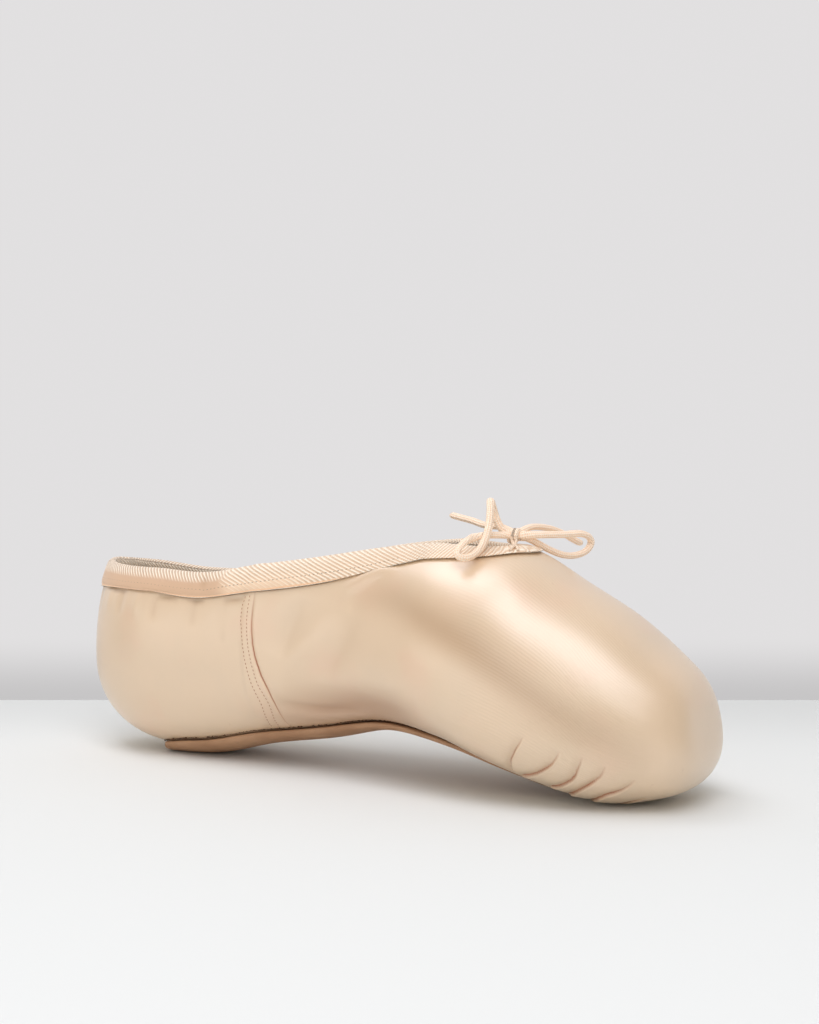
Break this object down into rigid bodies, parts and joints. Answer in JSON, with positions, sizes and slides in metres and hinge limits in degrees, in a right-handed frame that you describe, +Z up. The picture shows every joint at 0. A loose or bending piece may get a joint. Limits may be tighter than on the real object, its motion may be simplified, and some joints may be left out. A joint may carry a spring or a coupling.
{
  "type": "pointe shoe",
  "caption": "Satin pointe shoe with a stiffened toe box, a raised side seam, a tape casing round the collar, a drawstring bow and a leather sole.",
  "frame": {"origin": "on the floor, under the middle of the shoe without its bow", "axes": "+X from heel to toe, +Y across the shoe, +Z up"},
  "size_m": [0.236, 0.0792, 0.0957],
  "materials": {
    "peach_satin": "peach satin weave with a broad soft sheen",
    "twill_tape": "matt twill tape with diagonal ribs",
    "tan_leather": "matt tan split leather",
    "canvas": "plain weave over board, matt",
    "elastic_cord": "braided elastic cord, matt"
  },
  "bodies": {
    "root": {"upper": "peach_satin", "casing": "twill_tape", "outsole": "tan_leather", "insole": "canvas", "bow_knot": "elastic_cord", "bow_loop_near": "elastic_cord", "bow_loop_far": "elastic_cord", "bow_end_near": "elastic_cord", "bow_end_far": "elastic_cord"}
  },
  "joints": []
}
